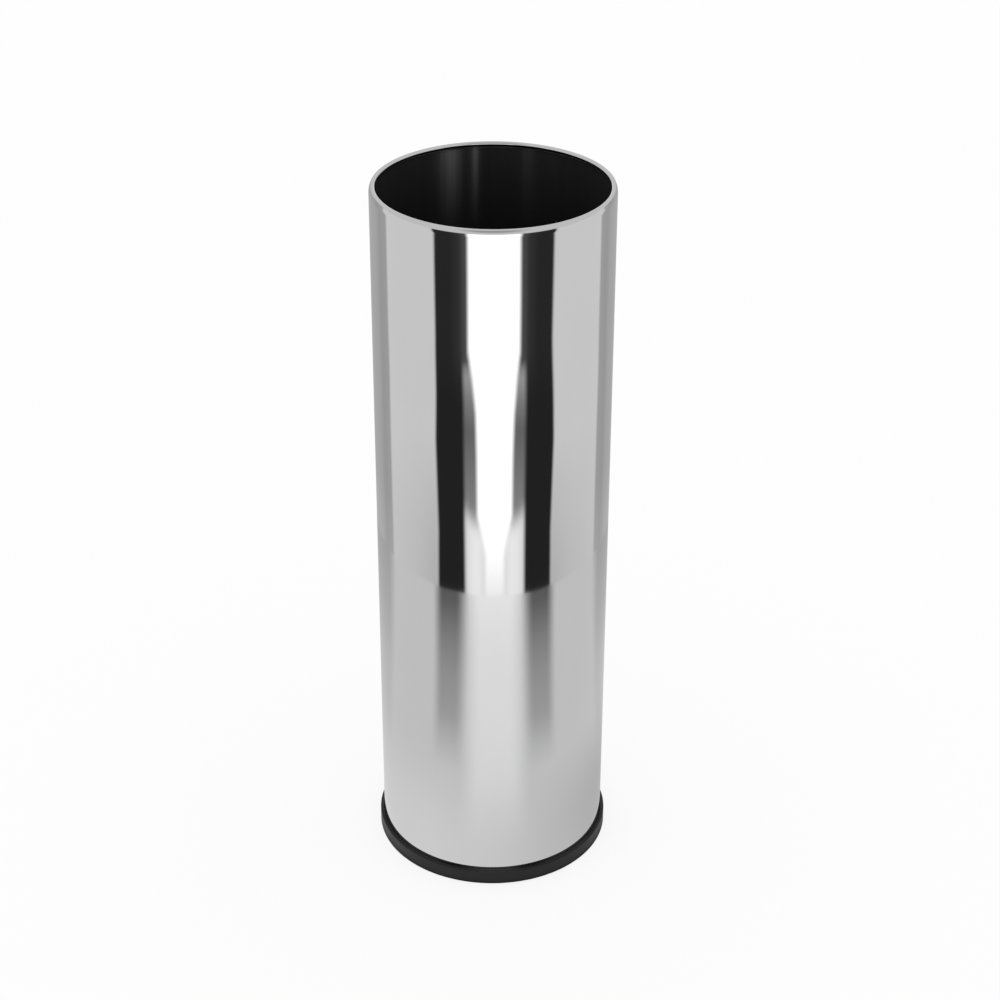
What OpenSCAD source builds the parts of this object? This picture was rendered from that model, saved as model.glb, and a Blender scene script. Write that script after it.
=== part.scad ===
// Umbrella stand: a tall polished steel tube with a rolled rim, a dark inner liner,
// a seamed steel bottom, a snap-on plastic base ring on grip pads, and a lift-out drip tray.
// Millimetres. +Z is up along the tube. The origin is on the floor, at the tube's axis.

/* [Body] */
// Outside diameter of the steel tube
body_d = 200; // [180:1:230]
// Height from the floor to the top of the rolled rim
total_h = 626; // [450:1:700]
// Thickness of the steel sheet
sheet_t = 0.6; // [0.5:0.05:0.7]
// Outside diameter of the rolled rim's cross-section
bead_d = 4.4; // [4:0.2:5.4]
// Radius of the shoulder by which the tube leans in to the rolled rim
shoulder_r = 9; // [6:0.5:11]
// How far the shoulder leans in before the tighter curl starts, in degrees
shoulder_turn = 30; // [10:5:35]
// How far round the rolled rim is curled, in degrees
bead_turn = 300; // [240:5:310]

/* [Liner] */
// Wall thickness of the dark inner liner
liner_t = 1.2; // [0.8:0.1:1.6]
// Gap left between the liner and the tube
liner_gap = 0.2; // [0.1:0.05:0.4]

/* [Bottom] */
// Height of the steel floor's upper face at its edge
floor_z = 12.6; // [11:0.2:16]
// Depth of the shallow dish pressed into the middle of the floor
dish_depth = 1.6; // [0.8:0.2:2.4]
// Height of the double seam that joins the floor to the tube
seam_h = 4.6; // [4:0.2:5]

/* [Base ring] */
// How far the base ring stands out from the tube
ring_step = 3.5; // [3:0.1:5]
// Height of the base ring's top edge above the floor
ring_top = 15; // [13:0.5:20]
// Inside diameter of the base ring's flat underside
ring_inner_d = 174; // [150:1:176]
// Number of grip pads under the ring
pad_count = 4; // [3:1:8]
// Diameter of each grip pad
pad_d = 13; // [10:0.5:13]
// How far the grip pads stand proud of the ring's underside
pad_proud = 1; // [0.6:0.1:1.2]

/* [Drip tray] */
// Outside diameter of the drip tray's lip
tray_d = 186; // [120:1:188]
// Height of the drip tray
tray_h = 42; // [25:1:60]
// Wall thickness of the drip tray
tray_t = 1.8; // [1.4:0.1:2.4]
// Number of ribs on the drip tray's floor
rib_count = 12; // [6:1:18]
// How far the drip tray's two finger tabs rise above its lip
tab_rise = 18; // [12:1:26]

/* [Hidden] */
$fn = 96;

cut = 1;                              // how far a cutting solid runs past the face that it opens
lap_gap = 0.03;                       // play between neighbouring layers of the seam
body_r = body_d / 2;
wall_r = body_r - sheet_t / 2;        // middle of the tube's sheet
layer = sheet_t + lap_gap;            // pitch from one seam layer to the next
bead_r = bead_d / 2 - sheet_t / 2;    // middle of the sheet round the rolled rim
bead_axis_r = wall_r - shoulder_r + (shoulder_r - bead_r) * cos(shoulder_turn);
bead_axis_z = total_h - bead_d / 2;
shoulder_z = bead_axis_z - (shoulder_r - bead_r) * sin(shoulder_turn);

ring_floor_t = 2;
ring_under_z = pad_proud;
seam_z = ring_under_z + ring_floor_t;      // the seam stands on the ring's floor
fold_mid_z = seam_z + layer + sheet_t / 2; // lowest point of the middle of the tube's fold
seam_top_z = seam_z + seam_h;
hook_end_gap = 0.8;                   // space beyond the free end of each hook

chuck_r = wall_r - layer;             // pan wall, inside the tube
end_hook_r = wall_r + layer;          // pan's hook, between the tube and its hook
body_hook_r = wall_r + 2 * layer;     // tube's hook
seaming_r = wall_r + 3 * layer;       // pan's outer wall
seam_r = seaming_r + sheet_t / 2;     // outside of the finished seam

liner_r = body_r - sheet_t - liner_gap;
liner_top_z = shoulder_z;             // the liner ends where the tube starts to lean in

ring_r = body_r + ring_step;
ring_inner_r = ring_inner_d / 2;
ring_play = 0.15;
ring_rib_t = 1.6;
ring_rib_top_z = floor_z - sheet_t - dish_depth - 1;
pocket_depth = 1;
pocket_play = 0.2;
pad_glue_t = 0.05;                    // film of glue between a pad and its pocket
pad_ring_r = (ring_inner_r + ring_r) / 2;

tray_play = 0.1;
tray_z = floor_z + tray_play;
tray_r = tray_d / 2;
tray_lip = 3;                         // width of the lip outside the tray's wall
tray_draft = 3;                       // how much narrower the tray is at its foot
rib_h = 2.4;
rib_w = 2;
rib_start_r = 22;
tab_w = 26;
tab_t = 1.8;
tab_corner_r = 7;
tab_bead_h = 2;                       // outward bead along the tab's top edge

// Points on an arc, from angle a0 to angle a1, for an outline in (radius, height).
function arc(cx, cy, r, a0, a1, n) =
    [for (i = [0:n]) let (a = a0 + (a1 - a0) * i / n) [cx + r * cos(a), cy + r * sin(a)]];

function unit(v) = v / norm(v);
function left_of(v) = [-v[1], v[0]];

// Offset direction at point i of a line: along the bisector, long enough to keep the thickness.
function miter(p, i) =
    let (n = len(p) - 1,
         a = left_of(unit(i > 0 ? p[i] - p[i - 1] : p[1] - p[0])),
         b = left_of(unit(i < n ? p[i + 1] - p[i] : p[n] - p[n - 1])),
         m = unit(a + b))
    m / (m * a);

// Closed outline of a sheet of thickness t whose middle follows the line p.
function sheet_outline(p, t) =
    concat([for (i = [0:len(p) - 1]) p[i] + miter(p, i) * t / 2],
           [for (i = [len(p) - 1:-1:0]) p[i] - miter(p, i) * t / 2]);

module turned_sheet(line, t) {
    rotate_extrude() polygon(sheet_outline(line, t));
}

// Polished tube: the rim leans in over a shoulder and is rolled inward, and the foot is folded out
// and up as the seam's body hook.
module outer_shell() {
    fold_r = layer;
    curl_step = 9;
    line = concat(
        [[body_hook_r, seam_top_z - sheet_t - hook_end_gap]],
        arc(wall_r + fold_r, fold_mid_z + fold_r, fold_r, 360, 180, 8),
        arc(wall_r - shoulder_r, shoulder_z, shoulder_r, 0, shoulder_turn, 6),
        arc(bead_axis_r, bead_axis_z, bead_r, shoulder_turn + curl_step, bead_turn, 29));
    color("silver") turned_sheet(line, sheet_t);
}

// Dark sleeve that stands on the steel floor and ends under the rolled rim.
module inner_liner() {
    color([0.05, 0.05, 0.05])
    difference() {
        translate([0, 0, floor_z]) cylinder(r = liner_r, h = liner_top_z - floor_z);
        translate([0, 0, floor_z - cut])
            cylinder(r = liner_r - liner_t, h = liner_top_z - floor_z + 2 * cut);
    }
}

// Steel floor with a shallow dish, its wall turned down inside the tube and seamed over the tube's hook.
module bottom_pan() {
    panel_z = floor_z - sheet_t / 2;
    panel_corner_r = 0.6;
    corner_r = 1.2;
    foot_z = seam_z + sheet_t / 2;
    top_z = seam_top_z - sheet_t / 2;
    turn_r = (seaming_r - end_hook_r) / 2;
    dish_r = body_r * 0.66;
    dish_slope = 5;
    line = concat(
        [[0, panel_z - dish_depth], [dish_r, panel_z - dish_depth], [dish_r + dish_slope, panel_z]],
        arc(chuck_r - panel_corner_r, panel_z - panel_corner_r, panel_corner_r, 90, 0, 6),
        arc(chuck_r + corner_r, foot_z + corner_r, corner_r, 180, 270, 6),
        arc(seaming_r - corner_r, foot_z + corner_r, corner_r, 270, 360, 6),
        arc(seaming_r - turn_r, top_z - turn_r, turn_r, 0, 180, 10),
        [[end_hook_r, fold_mid_z + sheet_t / 2 + hook_end_gap]]);
    color("gainsboro") turned_sheet(line, sheet_t);
}

// Plastic ring: grips the seam from below with a snap lip and carries the stand.
module base_ring() {
    edge_r = 1.4;
    foot_r = 0.8;
    lip_r = body_r + ring_play;
    groove_r = seam_r + ring_play;
    snap_z = seam_top_z + ring_play;
    snap_slope = 0.8;
    lip_chamfer = 0.4;
    rib_r = ring_inner_r + ring_rib_t;
    outline = concat(
        [[ring_inner_r, ring_under_z]],
        arc(ring_r - foot_r, ring_under_z + foot_r, foot_r, 270, 360, 5),
        arc(ring_r - edge_r, ring_top - edge_r, edge_r, 0, 90, 8),
        [[lip_r + lip_chamfer, ring_top], [lip_r, ring_top - lip_chamfer],
         [lip_r, snap_z + snap_slope], [groove_r, snap_z],
         [groove_r, seam_z], [rib_r, seam_z],
         [rib_r, ring_rib_top_z], [ring_inner_r, ring_rib_top_z]]);
    color([0.09, 0.09, 0.09])
    difference() {
        rotate_extrude() polygon(outline);
        at_pads(ring_under_z - cut) cylinder(d = pad_d + 2 * pocket_play, h = pocket_depth + cut);
    }
}

module at_pads(z) {
    for (i = [0:pad_count - 1]) rotate(360 * i / pad_count) translate([pad_ring_r, 0, z]) children();
}

// Rubber pads in pockets of the ring's underside: the stand rests on them.
module grip_pads() {
    color([0.14, 0.14, 0.14])
    at_pads(0) cylinder(d = pad_d, h = pad_proud + pocket_depth - pad_glue_t);
}

// Loose tray that catches the drips, with ribs that keep the tips clear and two tabs to lift it by.
module drip_tray() {
    wall_top_r = tray_r - tray_lip;
    wall_foot_r = wall_top_r - tray_draft;
    turn_r = 6;
    lip_bevel = 1.2;
    mid_z = tray_z + tray_t / 2;
    lip_z = tray_z + tray_h - tray_t / 2;
    line = concat(
        [[0, mid_z]],
        arc(wall_foot_r - turn_r, mid_z + turn_r, turn_r, 270, 360, 10),
        [[wall_top_r, lip_z - lip_bevel], [wall_top_r + lip_bevel, lip_z], [tray_r, lip_z]]);
    color([0.07, 0.07, 0.07])
    union() {
        turned_sheet(line, tray_t);
        for (i = [0:rib_count - 1])
            rotate(360 * (i + 0.5) / rib_count) tray_rib(rib_start_r, wall_foot_r - turn_r);
        for (side = [0, 180]) rotate(side) tray_tab(wall_top_r - tray_t / 2);
    }
}

module tray_rib(from_r, to_r) {
    translate([from_r, -rib_w / 2, tray_z + tray_t / 2])
        cube([to_r - from_r, rib_w, rib_h + tray_t / 2]);
}

// A curved tab that rises from the tray's lip, rounded at its upper corners, with a small bead to pull on.
module tray_tab(r) {
    foot_z = tray_z + tray_h - tray_t;
    top_z = tray_z + tray_h + tab_rise;
    bead_slope = 1;
    bead_foot_z = top_z - tab_bead_h;
    intersection() {
        rotate_extrude()
            polygon([[r, foot_z], [r + tab_t, foot_z], [r + tab_t, bead_foot_z - bead_slope],
                     [tray_r, bead_foot_z], [tray_r, top_z], [r, top_z]]);
        rotate([90, 0, 90]) linear_extrude(tray_r + cut) tab_face(foot_z, top_z, tab_corner_r);
    }
}

module tab_face(z0, z1, r) {
    translate([-tab_w / 2, z0]) square([tab_w, z1 - z0 - r]);
    translate([-tab_w / 2 + r, z0]) square([tab_w - 2 * r, z1 - z0]);
    for (side = [-1, 1]) translate([side * (tab_w / 2 - r), z1 - r]) circle(r);
}

outer_shell();
inner_liner();
bottom_pan();
base_ring();
grip_pads();
drip_tray();
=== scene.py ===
"""Umbrella stand: the looks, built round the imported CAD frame. Metres, +Z up, the front faces -Y."""
import math

import bmesh
import bpy
import numpy as np
from mathutils import Matrix, Vector


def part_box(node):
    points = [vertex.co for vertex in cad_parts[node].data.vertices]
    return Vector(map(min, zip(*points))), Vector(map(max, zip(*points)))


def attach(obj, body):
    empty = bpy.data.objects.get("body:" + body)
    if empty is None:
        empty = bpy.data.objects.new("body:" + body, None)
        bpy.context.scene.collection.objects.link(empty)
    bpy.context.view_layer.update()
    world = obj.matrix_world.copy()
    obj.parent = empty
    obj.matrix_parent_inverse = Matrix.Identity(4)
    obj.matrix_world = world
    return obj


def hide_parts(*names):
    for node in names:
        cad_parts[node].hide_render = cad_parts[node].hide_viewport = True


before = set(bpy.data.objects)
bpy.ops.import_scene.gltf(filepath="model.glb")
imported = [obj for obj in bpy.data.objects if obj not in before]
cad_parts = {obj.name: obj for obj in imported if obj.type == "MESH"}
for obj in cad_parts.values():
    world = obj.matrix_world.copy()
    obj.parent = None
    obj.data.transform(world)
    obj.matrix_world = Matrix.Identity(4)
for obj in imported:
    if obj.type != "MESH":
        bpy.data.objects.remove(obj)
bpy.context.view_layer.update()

MM = 0.001
BACK = math.pi / 2                       # azimuth of the tube's weld line
SHARP_DEG = 35                           # edges that turn by more than this stay sharp

# ---------------------------------------------------------------- sizes
# The boxes come from the frame, and the other sizes are the CAD source's.

_, shell_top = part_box("outer_shell")
liner_foot, liner_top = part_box("inner_liner")
pan_low, pan_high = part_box("bottom_pan")
ring_low, ring_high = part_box("base_ring")
_, pad_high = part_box("grip_pads")
tray_low, tray_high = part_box("drip_tray")

SHEET_T = 0.6 * MM                       # steel sheet of the tube and the floor
PITCH = SHEET_T + 0.03 * MM              # from layer to layer in the bottom seam
LINER_T = 1.2 * MM
LINER_GAP = 0.2 * MM
LINER_LAP_AT = BACK + math.radians(7)    # azimuth where the liner's lap joint starts
LINER_LAP_W = 10 * MM
LINER_LAP_STEP = 0.35 * MM               # how far the lap stands in
TUBE_R = liner_top.x + LINER_GAP + SHEET_T
WALL_R = TUBE_R - SHEET_T / 2            # middle of the tube's sheet
TOTAL_H = shell_top.z

SHOULDER_R = 9 * MM                      # the tube leans in over a shoulder to its rolled rim
SHOULDER_TURN = 30
SHOULDER_Z = liner_top.z
RIM_R = 2.2 * MM                         # outer radius of the rolled rim's section
BEAD_R = RIM_R - SHEET_T / 2             # middle of its sheet
BEAD_Z = TOTAL_H - RIM_R
BEAD_TURN = 300                          # angle at which its free end stops

FLOOR_Z = liner_foot.z                   # upper face of the steel floor, at its edge
DISH_DEPTH = 1.6 * MM
DISH_R = 0.66 * TUBE_R
SEAM_FOOT = pan_low.z
SEAM_R = pan_high.x
SEAM_TOP = SEAM_FOOT + 4.6 * MM
HOOK_GAP = 0.8 * MM                      # space beyond the free end of each hook of the seam

RING_R = min(ring_high.x, ring_high.y, -ring_low.x, -ring_low.y)
RING_TOP = ring_high.z
RING_INNER_R = 87 * MM
RING_RIB_T = 1.6 * MM                    # the rib along the ring's inner edge
RING_PLAY = 0.15 * MM
PAD_R = 6.5 * MM
PAD_COUNT = 4
POCKET_PLAY = 0.2 * MM
POCKET_TOP = ring_low.z + 1 * MM

TRAY_T = 1.8 * MM
TRAY_R = 93 * MM
TRAY_LIP_Z = tray_low.z + 42 * MM        # top of the tray's lip
TRAY_LIP_W = 3 * MM
TRAY_FLARE = 3 * MM                      # how much wider the wall is at its top than at its foot
TRAY_WALL_R = TRAY_R - TRAY_LIP_W
TRAY_FOOT_R = TRAY_WALL_R - TRAY_FLARE
TRAY_TURN = 6 * MM                       # radius between the tray's floor and its wall
RIB_COUNT = 12
RIB_START = 22 * MM
RIB_H = 2.4 * MM
RIB_W = 2 * MM
TAB_W = 26 * MM
TAB_CORNER = 7 * MM
TAB_BEAD_H = 2 * MM


# ---------------------------------------------------------------- mesh helpers

def arc(cx, cz, r, a0, a1, n):
    """Points on an arc in (radius, height), from angle a0 to a1 in degrees."""
    steps = (math.radians(a0 + (a1 - a0) * i / n) for i in range(n + 1))
    return [(cx + r * math.cos(a), cz + r * math.sin(a)) for a in steps]


def straight(p, q, n):
    """Points between p and q, both left out."""
    return [(p[0] + (q[0] - p[0]) * i / n, p[1] + (q[1] - p[1]) * i / n) for i in range(1, n)]


def smooth(x, low, high):
    """0 below low, 1 above high, and a soft step between them."""
    t = min(max((x - low) / (high - low), 0), 1)
    return t * t * (3 - 2 * t)


def ramp(x, *stops):
    """Value at x on the straight lines between (place, value) stops."""
    places, values = zip(*stops)
    return float(np.interp(x, places, values))


def sheet(line, t, round_end=False):
    """Outline of a sheet of thickness t whose middle follows the line."""
    p = np.array(line)
    d = np.diff(p, axis=0)
    d /= np.linalg.norm(d, axis=1)[:, None]
    left = np.stack([-d[:, 1], d[:, 0]], 1)
    a, b = np.vstack([left[:1], left]), np.vstack([left, left[-1:]])
    m = a + b
    m /= np.linalg.norm(m, axis=1)[:, None]
    m /= np.sum(m * a, axis=1)[:, None]
    one, other = p + m * t / 2, (p - m * t / 2)[::-1]
    end = []
    if round_end:
        turn = math.degrees(math.atan2(left[-1, 1], left[-1, 0]))
        end = arc(p[-1, 0], p[-1, 1], t / 2, turn, turn - 180, 8)[1:-1]
    return [tuple(q) for q in one] + end + [tuple(q) for q in other]


def around(count, fine_at=None, fine_width=0.0, fine_count=0):
    """Azimuths of one turn, with extra ones close to fine_at."""
    turns = [2 * math.pi * i / count for i in range(count)]
    if fine_at is not None:
        turns = [a for a in turns if abs(a - fine_at) > fine_width]
        turns += [fine_at + fine_width * (2 * i / fine_count - 1) for i in range(fine_count + 1)]
    return sorted(turns)


def turned(outline, azimuths, bend=None, closed=True):
    """Points and faces of a solid of revolution. bend(azimuth, radius, height) moves a point's radius."""
    rings, verts, faces = [], [], []
    for r, z in outline:
        if r < 1e-6:
            rings.append([len(verts)] * len(azimuths))
            verts.append((0, 0, z))
            continue
        rings.append(range(len(verts), len(verts) + len(azimuths)))
        for a in azimuths:
            bent = r + (bend(a, r, z) if bend else 0)
            verts.append((bent * math.cos(a), bent * math.sin(a), z))
    pairs = list(zip(rings, rings[1:] + rings[:1])) if closed else list(zip(rings, rings[1:]))
    for low, high in pairs:
        for i in range(len(azimuths)):
            j = (i + 1) % len(azimuths)
            face = list(dict.fromkeys((low[i], low[j], high[j], high[i])))
            if len(face) > 2:
                faces.append(face)
    return verts, faces


def grid_faces(rows, count, closed=True, first=0):
    """Faces between rows of count points each, numbered from first; closed joins the ends of a row."""
    faces = []
    for k in range(rows - 1):
        low, high = first + k * count, first + (k + 1) * count
        for i in range(count if closed else count - 1):
            j = (i + 1) % count
            faces.append((low + i, low + j, high + j, high + i))
    return faces


def loft(loops):
    """Points and faces of a solid whose cross-sections are loops with equally many points."""
    n = len(loops[0])
    verts = [p for loop in loops for p in loop]
    ends = [tuple(range(n)), tuple(range(len(verts) - n, len(verts)))]
    return verts, grid_faces(len(loops), n) + ends


def placed(part, place):
    """A part's points and faces, moved by a matrix."""
    verts, faces = part
    return [tuple(place @ Vector(v)) for v in verts], faces


def added(name, data):
    """A new object in the scene."""
    obj = bpy.data.objects.new(name, data)
    bpy.context.scene.collection.objects.link(obj)
    return obj


def mesh_object(name, *parts, sharp_deg=SHARP_DEG):
    """A named object from parts, with outward normals, smooth but for its sharp edges."""
    verts, faces = [], []
    for part_verts, part_faces in parts:
        faces += [[len(verts) + i for i in face] for face in part_faces]
        verts += part_verts
    mesh = bpy.data.meshes.new(name)
    mesh.from_pydata(verts, [], faces)
    bm = bmesh.new()
    bm.from_mesh(mesh)
    bmesh.ops.remove_doubles(bm, verts=bm.verts, dist=1e-7)
    bmesh.ops.recalc_face_normals(bm, faces=bm.faces)
    bm.to_mesh(mesh)
    bm.free()
    mesh.shade_smooth()
    mesh.set_sharp_from_angle(angle=math.radians(sharp_deg))
    return added(name, mesh)


def cut_away(obj, cutter):
    """Takes the cutter's shape out of the object, and deletes the cutter."""
    modifier = obj.modifiers.new("cut", "BOOLEAN")
    modifier.operation = "DIFFERENCE"
    modifier.solver = "EXACT"
    modifier.object = cutter
    depsgraph = bpy.context.evaluated_depsgraph_get()
    mesh = bpy.data.meshes.new_from_object(obj.evaluated_get(depsgraph))
    obj.modifiers.clear()
    obj.data = mesh
    mesh.set_sharp_from_angle(angle=math.radians(SHARP_DEG))
    bpy.data.objects.remove(cutter)


def piece(obj, material, body, node):
    """Gives a piece its material and its body, and hides the CAD node that it stands for."""
    obj.data.materials.clear()
    obj.data.materials.append(material)
    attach(obj, body)
    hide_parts(node)


# ---------------------------------------------------------------- materials

def set_range(node, from_low, from_high, low, high):
    """Sets what a Map Range node maps from and to."""
    node.inputs["From Min"].default_value = from_low
    node.inputs["From Max"].default_value = from_high
    node.inputs["To Min"].default_value = low
    node.inputs["To Max"].default_value = high


class Shader:
    """One Principled material and short ways to add the nodes that vary it."""

    def __init__(self, name, **sockets):
        self.material = bpy.data.materials.new(name)
        self.material.use_nodes = True
        self.tree = self.material.node_tree
        self.bsdf = self.tree.nodes["Principled BSDF"]
        self.coords = self.node("ShaderNodeTexCoord").outputs["Object"]
        for socket, value in sockets.items():
            self.bsdf.inputs[socket.replace("_", " ")].default_value = value

    def node(self, kind, **settings):
        made = self.tree.nodes.new(kind)
        for key, value in settings.items():
            setattr(made, key, value)
        return made

    def wire(self, source, target):
        self.tree.links.new(source, target)

    def math(self, operation, a, b=None):
        node = self.node("ShaderNodeMath", operation=operation)
        for socket, value in zip(node.inputs, (a, b)):
            if isinstance(value, (int, float)):
                socket.default_value = value
            elif value is not None:
                self.wire(value, socket)
        return node.outputs[0]

    def xyz(self):
        """The three object coordinates."""
        split = self.node("ShaderNodeSeparateXYZ")
        self.wire(self.coords, split.inputs[0])
        return split.outputs

    def azimuth(self):
        x, y, _ = self.xyz()
        return self.math("ARCTAN2", y, x)

    def stretched(self, x, y, z):
        """Object coordinates scaled along each axis."""
        mapping = self.node("ShaderNodeMapping")
        mapping.inputs["Scale"].default_value = (x, y, z)
        self.wire(self.coords, mapping.inputs["Vector"])
        return mapping.outputs["Vector"]

    def polar(self, around_scale, radial_scale, height_scale):
        """(azimuth, radius, height), each scaled, for marks that run round the axis or across it."""
        x, y, z = self.xyz()
        squares = self.math("ADD", self.math("MULTIPLY", x, x), self.math("MULTIPLY", y, y))
        places = (self.math("ARCTAN2", y, x), self.math("SQRT", squares), z)
        join = self.node("ShaderNodeCombineXYZ")
        for i, scale in enumerate((around_scale, radial_scale, height_scale)):
            self.wire(self.math("MULTIPLY", places[i], scale), join.inputs[i])
        return join.outputs[0]

    def noise(self, coords, scale, detail=3.0, rough=0.5):
        node = self.node("ShaderNodeTexNoise")
        node.inputs["Scale"].default_value = scale
        node.inputs["Detail"].default_value = detail
        node.inputs["Roughness"].default_value = rough
        self.wire(coords, node.inputs["Vector"])
        return node.outputs["Fac"]

    def spread(self, value, low, high, from_low=0.3, from_high=0.7):
        """Maps a value from its own range to the range low to high."""
        node = self.node("ShaderNodeMapRange")
        set_range(node, from_low, from_high, low, high)
        self.wire(value, node.inputs["Value"])
        return node.outputs["Result"]

    def mixed(self, one, other, share):
        """Weighted sum of two values."""
        return self.math("ADD", self.math("MULTIPLY", one, 1 - share), self.math("MULTIPLY", other, share))

    def streak(self, azimuth, at, width, strength):
        """A soft upright streak at one azimuth."""
        off = self.math("DIVIDE", self.math("SUBTRACT", azimuth, at), width)
        bell = self.math("EXPONENT", self.math("MULTIPLY", self.math("MULTIPLY", off, off), -1.0))
        return self.math("MULTIPLY", bell, strength)

    def colours(self, value, dark, light):
        """Mixes two colours by a value from 0 to 1."""
        node = self.node("ShaderNodeMix", data_type="RGBA")
        factor, a, b = node.inputs[0], node.inputs[6], node.inputs[7]
        a.default_value = (*dark, 1)
        b.default_value = (*light, 1)
        self.wire(value, factor)
        return node.outputs[2]

    def bump(self, height, depth):
        """Adds relief of a given depth in metres, on top of any relief added before."""
        node = self.node("ShaderNodeBump")
        node.inputs["Distance"].default_value = depth
        self.wire(height, node.inputs["Height"])
        before = self.bsdf.inputs["Normal"].links
        if before:
            self.wire(before[0].from_socket, node.inputs["Normal"])
        self.wire(node.outputs["Normal"], self.bsdf.inputs["Normal"])

    def to(self, socket, source):
        self.wire(source, self.bsdf.inputs[socket])


def polished_steel():
    """Mirror-polished stainless sheet: nearly clear, with faint buffing lines and soft mottling."""
    s = Shader("polished_steel", Metallic=1.0)
    mottle = s.noise(s.stretched(1, 1, 0.5), 18, 4)
    buffing = s.noise(s.polar(3, 40, 900), 1.0, 4, 0.65)
    s.to("Base Color", s.colours(s.spread(mottle, 0, 1), (0.715, 0.715, 0.72), (0.735, 0.735, 0.738)))
    s.to("Roughness", s.spread(s.mixed(mottle, buffing, 0.4), 0.03, 0.06))
    s.bump(buffing, 0.0008 * MM)
    return s.material


# Painted sheen in the liner's colour: paler upright streaks and a paler band below the rim, a painted
# reflection.
PAINTED_SHEEN_STREAKS = ((22, 5, 1.0), (9, 2, 0.85), (-17, 3, 0.25))   # degrees past the back, width, strength
PAINTED_SHEEN_DEPTH = 85 * MM                      # how far below the rim the painted sheen streaks reach
EVEN_PAINTED_SHEEN = 0.05                          # how much painted sheen all of that band gets


def black_liner():
    """Black lacquered sheet with a faint upright grain, and painted sheen in its colour: paler streaks and
    a paler band below the rim, standing in for reflections.
    """
    s = Shader("black_liner", Specular_IOR_Level=0.5)
    grain = s.noise(s.stretched(1, 1, 0.02), 260, 3)
    broad = s.noise(s.stretched(1, 1, 0.05), 22, 2)
    peel = s.noise(s.coords, 900, 2)
    _, _, height = s.xyz()
    fade = s.math("POWER", s.spread(height, 0, 1, liner_top.z - PAINTED_SHEEN_DEPTH, liner_top.z), 1.5)
    azimuth = s.azimuth()
    # painted sheen: an even band plus the upright streaks, fading downward from the rim and broken by the
    # grain
    wear_and_sheen = EVEN_PAINTED_SHEEN
    for at, width, strength in PAINTED_SHEEN_STREAKS:
        sheen_streak = s.streak(azimuth, BACK + math.radians(at), math.radians(width), strength)
        wear_and_sheen = s.math("ADD", sheen_streak, wear_and_sheen)
    wear_and_sheen = s.math("MULTIPLY", s.math("MULTIPLY", wear_and_sheen, fade), s.spread(grain, 0.6, 1.2))
    s.to("Base Color", s.colours(wear_and_sheen, (0.013, 0.013, 0.013), (0.13, 0.13, 0.13)))
    s.to("Roughness", s.spread(s.mixed(grain, broad, 0.5), 0.26, 0.42))
    s.bump(grain, 0.02 * MM)
    s.bump(peel, 0.006 * MM)
    return s.material


def floor_steel():
    """Mill-finish steel, spun: fine rings round the axis and a few dull patches."""
    s = Shader("floor_steel", Metallic=1.0)
    rings = s.noise(s.polar(0.6, 4000, 4000), 1.0, 3, 0.6)
    patches = s.noise(s.coords, 35, 4)
    s.to("Base Color", s.colours(s.spread(patches, 0, 1), (0.50, 0.50, 0.50), (0.62, 0.62, 0.61)))
    s.to("Roughness", s.spread(rings, 0.26, 0.4))
    s.bump(rings, 0.01 * MM)
    return s.material


def moulded_plastic(name, dark, light, smoothest, roughest, grain_size):
    """Black moulded plastic with a fine spark-eroded grain, worn by rubbing and lightly scuffed in places.
    """
    s = Shader(name, Specular_IOR_Level=0.3)
    grain = s.noise(s.coords, 1 / grain_size, 2, 0.6)
    wear_and_sheen = s.noise(s.coords, 45, 4, 0.6)
    scuffs = s.spread(s.noise(s.polar(9, 50, 900), 1.0, 2), 0, 0.7, 0.6, 0.78)
    s.to("Base Color", s.colours(s.math("ADD", s.spread(wear_and_sheen, 0, 1), scuffs), dark, light))
    s.to("Roughness", s.spread(wear_and_sheen, smoothest, roughest))
    s.bump(grain, 0.012 * MM)
    return s.material


def pad_rubber():
    """Matt dark grey rubber with a powdery bloom."""
    s = Shader("pad_rubber", Specular_IOR_Level=0.35)
    bloom = s.noise(s.coords, 140, 4, 0.6)
    s.to("Base Color", s.colours(s.spread(bloom, 0, 1), (0.022, 0.022, 0.022), (0.05, 0.05, 0.049)))
    s.to("Roughness", s.spread(bloom, 0.7, 0.9))
    s.bump(s.noise(s.coords, 2500, 2), 0.02 * MM)
    return s.material


# ---------------------------------------------------------------- the stand

def tube_bend(azimuth, radius, height):
    """The small unevenness of rolled sheet, and the ground weld line down the back."""
    free = smooth(height, 20 * MM, 70 * MM)   # the base holds the sheet round
    waves_mm = (0.030 * math.sin(5 * azimuth + 9 * height)
                + 0.022 * math.sin(9 * azimuth - 14 * height + 1.3)
                + 0.016 * math.sin(16 * azimuth + 21 * height + 4.0))
    off_mm = (azimuth - BACK) * TUBE_R / MM
    bead_mm = 0.05 * math.exp(-(off_mm / 0.7) ** 2)
    hollow_mm = 0.035 * math.exp(-(off_mm / 3.0) ** 2)
    return (waves_mm * free + bead_mm - hollow_mm) * MM


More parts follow.
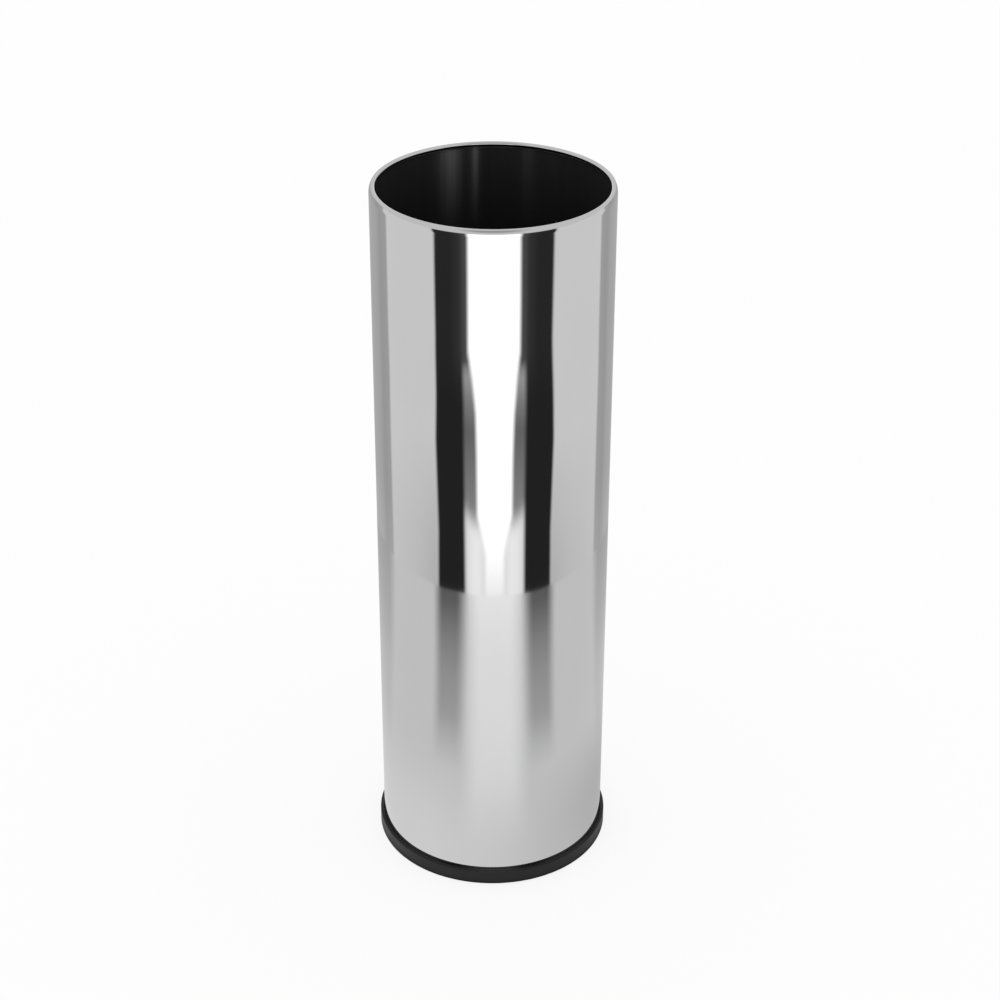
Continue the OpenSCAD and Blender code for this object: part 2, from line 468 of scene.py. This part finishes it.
def tube():
    """One sheet from the free end of the seam's hook, up the wall and shoulder, into the rolled rim."""
    fold_z = SEAM_FOOT + PITCH + SHEET_T / 2
    hook = arc(WALL_R + PITCH, fold_z + PITCH, PITCH, 360, 180, 8)
    shoulder = arc(WALL_R - SHOULDER_R, SHOULDER_Z, SHOULDER_R, 0, SHOULDER_TURN, 10)
    bead_axis = WALL_R - SHOULDER_R + (SHOULDER_R - BEAD_R) * math.cos(math.radians(SHOULDER_TURN))
    bead = arc(bead_axis, BEAD_Z, BEAD_R, SHOULDER_TURN, BEAD_TURN, 32)[1:]
    tangent = 0.2 * MM                   # a short flat next to each bend
    wall_low = (WALL_R, hook[-1][1] + tangent)
    wall_high = (WALL_R, SHOULDER_Z - tangent)
    line = [(WALL_R + 2 * PITCH, SEAM_TOP - SHEET_T - HOOK_GAP), *hook, wall_low,
            *straight(wall_low, wall_high, 32), wall_high, *shoulder, *bead]
    turns = around(320, fine_at=BACK, fine_width=7 * MM / TUBE_R, fine_count=28)
    return mesh_object("polished_tube", turned(sheet(line, SHEET_T), turns, tube_bend))


def liner_bend(azimuth, radius, height):
    """The liner's lap joint: a strip at the back that stands in from the rest of the inner face."""
    if radius > liner_top.x - LINER_T / 2:
        return 0
    off = (azimuth - LINER_LAP_AT) * radius
    edge, ease = 0.4 * MM, 4 * MM
    return -LINER_LAP_STEP * (smooth(off, -edge, 0) - smooth(off, LINER_LAP_W, LINER_LAP_W + ease))


def liner():
    """The black sleeve, with softened edges at the top."""
    outer = liner_top.x
    inner = outer - LINER_T
    foot, top = liner_foot.z, liner_top.z
    edge = 0.25 * MM
    low, high = (inner, foot), (inner, top - edge)
    outline = [low, *straight(low, high, 6), high, (inner + edge, top), (outer - edge, top),
               (outer, top - edge), (outer, foot)]
    fine_at = LINER_LAP_AT + 6 * MM / outer
    turns = around(288, fine_at, fine_width=12 * MM / outer, fine_count=48)
    return mesh_object("black_liner", turned(outline, turns, liner_bend), sharp_deg=30)


def pan():
    """The steel floor: a dished panel, a wall down inside the tube's foot, and the seam's outer hook."""
    panel_z = FLOOR_Z - SHEET_T / 2
    dish_z = panel_z - DISH_DEPTH
    slope, ease, dip = 5 * MM, 1.5 * MM, 0.1 * MM
    wall_r = WALL_R - PITCH
    corner, small = 1.2 * MM, 0.6 * MM
    foot_z = SEAM_FOOT + SHEET_T / 2
    seam_mid_r = SEAM_R - SHEET_T / 2
    top_z = SEAM_TOP - SHEET_T / 2
    line = [(0, dish_z), (DISH_R - ease, dish_z), (DISH_R, dish_z + dip),
            (DISH_R + slope, panel_z - dip), (DISH_R + slope + ease, panel_z),
            *arc(wall_r - small, panel_z - small, small, 90, 0, 8),
            *arc(wall_r + corner, foot_z + corner, corner, 180, 270, 8),
            *arc(seam_mid_r - corner, foot_z + corner, corner, 270, 360, 8),
            *arc(seam_mid_r - PITCH, top_z - PITCH, PITCH, 0, 180, 12),
            (WALL_R + PITCH, SEAM_FOOT + 2 * PITCH + SHEET_T + HOOK_GAP)]
    return mesh_object("steel_floor", turned(sheet(line, SHEET_T), around(256), closed=False))


def at_pads(part):
    """Copies of a part at every grip pad."""
    pad_ring_r = pad_high.x - PAD_R
    turns = (Matrix.Rotation(2 * math.pi * k / PAD_COUNT, 4, "Z") for k in range(PAD_COUNT))
    return [placed(part, turn @ Matrix.Translation((pad_ring_r, 0, 0))) for turn in turns]


def ring():
    """The moulded base ring: a lip round the tube, a groove for the seam, an inner rib and four pockets."""
    edge, foot, chamfer, lip_slope = 1.4 * MM, 0.8 * MM, 0.4 * MM, 0.8 * MM
    clearance = 1 * MM
    low = ring_low.z
    rib_r = RING_INNER_R + RING_RIB_T
    rib_top = FLOOR_Z - SHEET_T - DISH_DEPTH - clearance
    lip_r = TUBE_R + RING_PLAY
    groove_r = SEAM_R + RING_PLAY
    snap_z = SEAM_TOP + RING_PLAY
    outline = [(RING_INNER_R, low), *arc(RING_R - foot, low + foot, foot, 270, 360, 8),
               *arc(RING_R - edge, RING_TOP - edge, edge, 0, 90, 12),
               *arc(lip_r + chamfer, RING_TOP - chamfer, chamfer, 90, 180, 5),
               (lip_r, snap_z + lip_slope), (groove_r, snap_z), (groove_r, SEAM_FOOT),
               (rib_r, SEAM_FOOT), (rib_r, rib_top), (RING_INNER_R, rib_top)]
    obj = mesh_object("base_ring_moulding", turned(outline, around(320)))
    r, below = PAD_R + POCKET_PLAY, -1 * MM
    pocket = [(0, below), (r, below), (r, POCKET_TOP), (0, POCKET_TOP)]
    cut_away(obj, mesh_object("pockets", *at_pads(turned(pocket, around(64), closed=False))))
    return obj


def pads():
    """Round pads with a shallow recess, and a groove round it, in the face that stands on the floor."""
    chamfer, depth, slope = 0.3 * MM, 0.25 * MM, 0.2 * MM
    recess_r, groove_inner, groove_outer = 2.0 * MM, 3.6 * MM, 4.6 * MM
    profile = [(0, depth), (recess_r, depth), (recess_r + slope, 0), (groove_inner - slope, 0),
               (groove_inner, depth), (groove_outer, depth), (groove_outer + slope, 0),
               (PAD_R - chamfer, 0), (PAD_R, chamfer), (PAD_R, pad_high.z), (0, pad_high.z)]
    return mesh_object("grip_pads_rubber", *at_pads(turned(profile, around(64), closed=False)))


# ---------------------------------------------------------------- the drip tray

def tray_bowl():
    """Floor, wall and lip of the tray as one moulding of even thickness."""
    mid_z = tray_low.z + TRAY_T / 2
    lip_z = TRAY_LIP_Z - TRAY_T / 2
    bend = 1.6 * MM
    line = [(0, mid_z), *arc(TRAY_FOOT_R - TRAY_TURN, mid_z + TRAY_TURN, TRAY_TURN, 270, 360, 18),
            *arc(TRAY_WALL_R + bend, lip_z - bend, bend, 180, 90, 8), (TRAY_R - TRAY_T / 2, lip_z)]
    outline = sheet(line, TRAY_T, round_end=True)
    return mesh_object("tray_bowl", turned(outline, around(256), closed=False))


def tray_rib():
    """One rib along +X: rounded along its top and sloped down at both ends."""
    foot_z = tray_low.z + TRAY_T / 2
    start, stop = RIB_START, TRAY_FOOT_R - TRAY_TURN
    slope, blunt = 5 * MM, 0.5 * MM
    half = RIB_W / 2
    foot_half = 1.15 * half
    steps = 40
    loops = []
    for i in range(steps + 1):
        x = start + (stop - start) * i / steps
        rise = TRAY_T / 2 + RIB_H * smooth(min(x - start, stop - x), -blunt, slope)
        crown = foot_z + rise - half
        top = [(x, y, z) for y, z in arc(0, crown, half, 0, 180, 8)]
        loops.append([(x, foot_half, foot_z), *top, (x, -foot_half, foot_z)])
    return loft(loops)


def tray_ribs():
    rib = tray_rib()
    turns = [Matrix.Rotation(2 * math.pi * (k + 0.5) / RIB_COUNT, 4, "Z") for k in range(RIB_COUNT)]
    return mesh_object("tray_ribs", *[placed(rib, turn) for turn in turns])


def tab_edge_distance(y, z):
    """How far a point of the tab's face is inside its outline."""
    corner_y, corner_z = abs(y) - (TAB_W / 2 - TAB_CORNER), z - (tray_high.z - TAB_CORNER)
    if corner_y > 0 and corner_z > 0:
        return TAB_CORNER - math.hypot(corner_y, corner_z)
    return min(TAB_W / 2 - abs(y), tray_high.z - z)


def tray_tab():
    """One finger tab on the +X side: curved with the wall, rounded all round, with a bead to pull on."""
    foot_z = TRAY_LIP_Z - TRAY_T
    inner_r = TRAY_WALL_R - TRAY_T / 2
    outer_r = inner_r + TRAY_T
    bead_z = tray_high.z - TAB_BEAD_H
    bead_slope = 1 * MM
    soft = 0.6 * MM                      # radius of the rounded edges
    columns, rows = 49, 35               # of points, across the tab and up it
    verts = []
    for outside in (False, True):
        for i in range(columns):
            y = TAB_W / 2 * math.sin(math.pi * (i / (columns - 1) - 0.5))
            over = max(abs(y) - (TAB_W / 2 - TAB_CORNER), 0)
            top = tray_high.z - TAB_CORNER + math.sqrt(max(TAB_CORNER ** 2 - over ** 2, 0))
            for j in range(rows):
                z = foot_z + (top - foot_z) * math.sin(math.pi / 2 * j / (rows - 1))
                inside = min(max(tab_edge_distance(y, z) / soft, 0), 1)
                rounding = soft * (1 - math.sqrt(1 - (1 - inside) ** 2))
                bead = (TRAY_R - outer_r) * smooth(z, bead_z - bead_slope, bead_z)
                r = outer_r + bead - rounding if outside else inner_r + rounding
                verts.append((math.sqrt(r * r - y * y), y, z))
    one_side = columns * rows
    last = one_side - rows               # first point of the last column
    faces = [face for first in (0, one_side) for face in grid_faces(columns, rows, False, first)]
    # The border of one side, in order: up its first column, along the top, down its last, and back.
    border = [*range(rows), *range(2 * rows - 1, one_side, rows),
              *range(one_side - 2, last - 1, -1), *range(last - rows, 0, -rows)]
    for a, b in zip(border, border[1:] + border[:1]):
        faces.append((a, b, b + one_side, a + one_side))
    return verts, faces


def tray_tabs():
    tab = tray_tab()
    return mesh_object("tray_tabs", tab, placed(tab, Matrix.Rotation(math.pi, 4, "Z")), sharp_deg=60)


steel = polished_steel()
ring_plastic = moulded_plastic("ring_plastic", (0.0045, 0.0045, 0.0047), (0.0075, 0.0075, 0.0078),
                               0.34, 0.46, 0.35 * MM)
tray_plastic = moulded_plastic("tray_plastic", (0.013, 0.013, 0.0135), (0.02, 0.02, 0.0205),
                               0.32, 0.45, 0.4 * MM)

piece(tube(), steel, "stand", "outer_shell")
piece(liner(), black_liner(), "stand", "inner_liner")
piece(pan(), floor_steel(), "stand", "bottom_pan")
piece(ring(), ring_plastic, "stand", "base_ring")
piece(pads(), pad_rubber(), "stand", "grip_pads")
for part in (tray_bowl(), tray_ribs(), tray_tabs()):
    piece(part, tray_plastic, "tray", "drip_tray")


# ---------------------------------------------------------------- studio: cards that only reflections see

TENT_R, TENT_H = 0.59, 0.72              # a round tent of cards about the stand
TENT_FADE = 0.055                        # over this height its top fades into the sky
SKY_LEVEL = 0.68                         # what reflections see above the tent
DIM_SKY = (0, -0.64, 0.77)               # direction of the front sky, which is dimmer
DIM_SKY_LEVEL = 0.38
DIM_SKY_EDGE, DIM_SKY_FULL = 0.84, 0.98  # as cosines of the angle from that direction
FLOOR_HALF_W = 40
FLOOR_GREY, FLOOR_GLOW = 0.16, 0.83

# The cards change at these azimuths off the front, in degrees: panel, flag, side, rear, rear panel.
PANEL_EDGE = 26.8
FLAG_EDGE = ((0, 52), (0.07, 51.6), (0.12, 52.7), (0.18, 54.1), (0.3, 52.1))   # by height
SIDE_EDGE = 109.5
REAR_PANEL_EDGE = 167
REAR_PANEL_LEVEL = 1.15
LEAN, LEAN_TOP = 1.9, 0.8                # degrees that the tent is turned right, low down and high up


def panel_level(a, h):
    """The white panel in front: its foot narrows to a soft curve, with a dim strip beside it."""
    half_width = ramp(h, (0.05, 8), (0.08, 12), (0.1, 15.4), (0.17, 15.8), (0.22, 16.6),
                      (0.26, 19), (0.29, 22))
    white = ramp(h, (0, 1.15), (0.04, 1.35), (0.1, 1.6))
    dim = ramp(h, (0.07, 0.35), (0.12, 0.27), (0.2, 0.16), (0.235, 0.26), (0.265, 0.42), (0.28, 0.08))
    foot = ramp(a, (8, 0.06), (12, 0.085), (20, 0.09), (26, 0.10))
    low = ramp(a, (10, 1), (15, 1.1), (20, 1.08), (25, 0.94))
    level = dim + (low - dim) * (1 - smooth(h, foot - 0.015, foot + 0.02))
    return level + (white - level) * (1 - smooth(a, half_width - 2.5, half_width + 2.5))


def flag_level(a, h):
    """A black flag on either side of the panel, a little paler beside it high up."""
    return 0.02 + ramp(a, (24, 0.06), (30, 0.02), (38, 0.005)) * smooth(h, 0.22, 0.3)


def side_level(a, h):
    """The pale grey sides, which darken toward their foot."""
    fall = ramp(h, (0, 0.17), (0.05, 0.14), (0.12, 0.07), (0.18, 0))
    return 0.76 - fall * ramp(a, (56, 1), (72, 0.6), (100, 0.3))


def rear_level(a, h):
    """The darker grey cards behind the sides."""
    return ramp(a, (110, 0.44), (122, 0.40), (132, 0.46)) + 0.05 * (1 - smooth(h, 0, 0.1))


def rear_panel_level(a, h):
    """A second white panel, right behind the stand."""
    return REAR_PANEL_LEVEL


def tent_level(azimuth, h):
    """Brightness of the tent; azimuths are in degrees from the front."""
    a = abs(azimuth - LEAN - (LEAN_TOP - LEAN) * smooth(h, 0.22, 0.3))
    level = panel_level(a, h)
    changes = ((PANEL_EDGE, 2.4, flag_level), (ramp(h, *FLAG_EDGE), 1.8, side_level),
               (SIDE_EDGE, 2, rear_level), (REAR_PANEL_EDGE, 4, rear_panel_level))
    for edge, soft, beyond in changes:
        if a > edge - soft:
            level += (beyond(a, h) - level) * smooth(a, edge - soft, edge + soft)
    return level + (SKY_LEVEL - level) * smooth(h, TENT_H - TENT_FADE, TENT_H)


def floor_level(azimuth, d):
    """Brightness of the floor, at a distance d from the axis, as the steel shows it.

    Far out the floor has painted light in front, is darker at the rear and has painted shade below the
    flags. Close to the base ring it is paler on the left, a painted light from that side, and it is black
    beside the ring itself, a painted contact shadow.
    """
    a = abs(azimuth - LEAN)
    lit = ramp(d, (0.28, 0.20), (0.45, 0.26), (0.52, 0.30), (0.58, 0.36)) * (1 - smooth(a, 12, 32))
    dark = ramp(d, (0.2, 0.05), (0.35, 0.10), (0.45, 0.18), (0.58, 0.24)) * smooth(a, 104, 120)
    # painted shade on the floor below the flags
    flags = ramp(d, (0.26, 0), (0.31, 0.20), (0.35, 0.38), (0.43, 0.48), (0.49, 0.60), (0.57, 0.80))
    flags *= smooth(a, 22, 36) * (1 - smooth(a, 48, 59))
    far = (0.70 + lit - dark) * (1 - flags)
    # painted light from the left, and a painted contact shadow right beside the ring
    near = (0.66 + 0.15 * math.cos(math.radians(azimuth + 50))) * smooth(d, 0.102, 0.110)
    return near + (far - near) * smooth(d, 0.13, 0.29)


def level_material(name):
    """Light as bright as the mesh's own attribute, level."""
    material = bpy.data.materials.new(name)
    material.use_nodes = True
    tree = material.node_tree
    tree.nodes.remove(tree.nodes["Principled BSDF"])
    emission = tree.nodes.new("ShaderNodeEmission")
    level = tree.nodes.new("ShaderNodeAttribute")
    level.attribute_name = "level"
    tree.links.new(level.outputs["Fac"], emission.inputs["Strength"])
    tree.links.new(emission.outputs[0], tree.nodes["Material Output"].inputs["Surface"])
    return material


def card(name, rows, steps, place, level):
    """A surface round the axis that only reflections see.

    place(row) gives a row's radius and height, and level(azimuth, row) its brightness there.
    """
    verts, levels = [], []
    for row in rows:
        for i in range(steps):
            azimuth = (i + 0.5) * 360 / steps - 180
            radius, height = place(row)
            a = math.radians(azimuth)
            verts.append((radius * math.sin(a), -radius * math.cos(a), height))
            levels.append(level(azimuth, row))
    mesh = bpy.data.meshes.new(name)
    mesh.from_pydata(verts, [], grid_faces(len(rows), steps))
    attribute = mesh.attributes.new("level", "FLOAT", "POINT")
    attribute.data.foreach_set("value", np.array(levels, np.float32))
    mesh.materials.append(level_material(name))
    obj = added(name, mesh)
    for ray in ("camera", "diffuse", "transmission", "volume_scatter", "shadow"):
        setattr(obj, "visible_" + ray, False)


def make_floor():
    """The pale floor. It glows a little, so that only a faint shadow gathers round the foot."""
    half = FLOOR_HALF_W
    corners = [(-half, -half, 0), (half, -half, 0), (half, half, 0), (-half, half, 0)]
    mesh = bpy.data.meshes.new("floor")
    mesh.from_pydata(corners, [], [(0, 1, 2, 3)])
    material = bpy.data.materials.new("floor")
    material.use_nodes = True
    bsdf = material.node_tree.nodes["Principled BSDF"]
    bsdf.inputs["Base Color"].default_value = (FLOOR_GREY, FLOOR_GREY, FLOOR_GREY, 1)
    bsdf.inputs["Roughness"].default_value = 0.9
    bsdf.inputs["Specular IOR Level"].default_value = 0.0
    bsdf.inputs["Emission Color"].default_value = (1, 1, 1, 1)
    bsdf.inputs["Emission Strength"].default_value = FLOOR_GLOW
    mesh.materials.append(material)
    obj = added("floor", mesh)
    obj.visible_glossy = False           # the steel reflects the card instead


def make_world():
    """Even white light; reflections see it greyer, so that rims and edges don't burn out."""
    world = bpy.data.worlds.new("studio")
    world.use_nodes = True
    tree = world.node_tree
    lit = tree.nodes["Background"]
    lit.inputs["Color"].default_value = (1, 1, 1, 1)
    lit.inputs["Strength"].default_value = 1.0
    reflected = tree.nodes.new("ShaderNodeBackground")
    reflected.inputs["Color"].default_value = (1, 1, 1, 1)
    coords = tree.nodes.new("ShaderNodeTexCoord")
    toward = tree.nodes.new("ShaderNodeVectorMath")
    toward.operation = "DOT_PRODUCT"
    toward.inputs[1].default_value = DIM_SKY
    level = tree.nodes.new("ShaderNodeMapRange")
    level.interpolation_type = "SMOOTHSTEP"
    set_range(level, DIM_SKY_EDGE, DIM_SKY_FULL, SKY_LEVEL, DIM_SKY_LEVEL)
    tree.links.new(coords.outputs["Generated"], toward.inputs[0])
    tree.links.new(toward.outputs["Value"], level.inputs["Value"])
    tree.links.new(level.outputs["Result"], reflected.inputs["Strength"])
    mix = tree.nodes.new("ShaderNodeMixShader")
    path = tree.nodes.new("ShaderNodeLightPath")
    tree.links.new(path.outputs["Is Glossy Ray"], mix.inputs[0])
    tree.links.new(lit.outputs[0], mix.inputs[1])
    tree.links.new(reflected.outputs[0], mix.inputs[2])
    tree.links.new(mix.outputs[0], tree.nodes["World Output"].inputs["Surface"])
    bpy.context.scene.world = world


def make_camera():
    """The photograph's viewpoint: in front of the stand, above it, and looking down."""
    place = (0, -1.7097, 1.2865)
    pitch, yaw, roll = math.radians(29.07), math.radians(0.21), math.radians(0.2)
    camera = bpy.data.cameras.new("camera")
    camera.sensor_width = 36
    camera.lens = 81.66
    obj = added("camera", camera)
    obj.matrix_world = (Matrix.Translation(place) @ Matrix.Rotation(-yaw, 4, "Z")
                        @ Matrix.Rotation(math.pi / 2 - pitch, 4, "X") @ Matrix.Rotation(roll, 4, "Z"))
    bpy.context.scene.camera = obj


tent_rows = np.linspace(0, TENT_H, 73).tolist()
card("light_tent", tent_rows, 1440, lambda h: (TENT_R, h), tent_level)
floor_start, floor_fine = 0.09, 0.12     # the rows next to the base ring are finer
near_rows = np.linspace(floor_start, floor_fine, 16).tolist()
far_rows = np.linspace(floor_fine, TENT_R, 49).tolist()
card("reflected_floor", near_rows + far_rows[1:], 360, lambda d: (d, 0), floor_level)
make_floor()
make_world()
make_camera()
bpy.context.scene.view_settings.view_transform = "Standard"
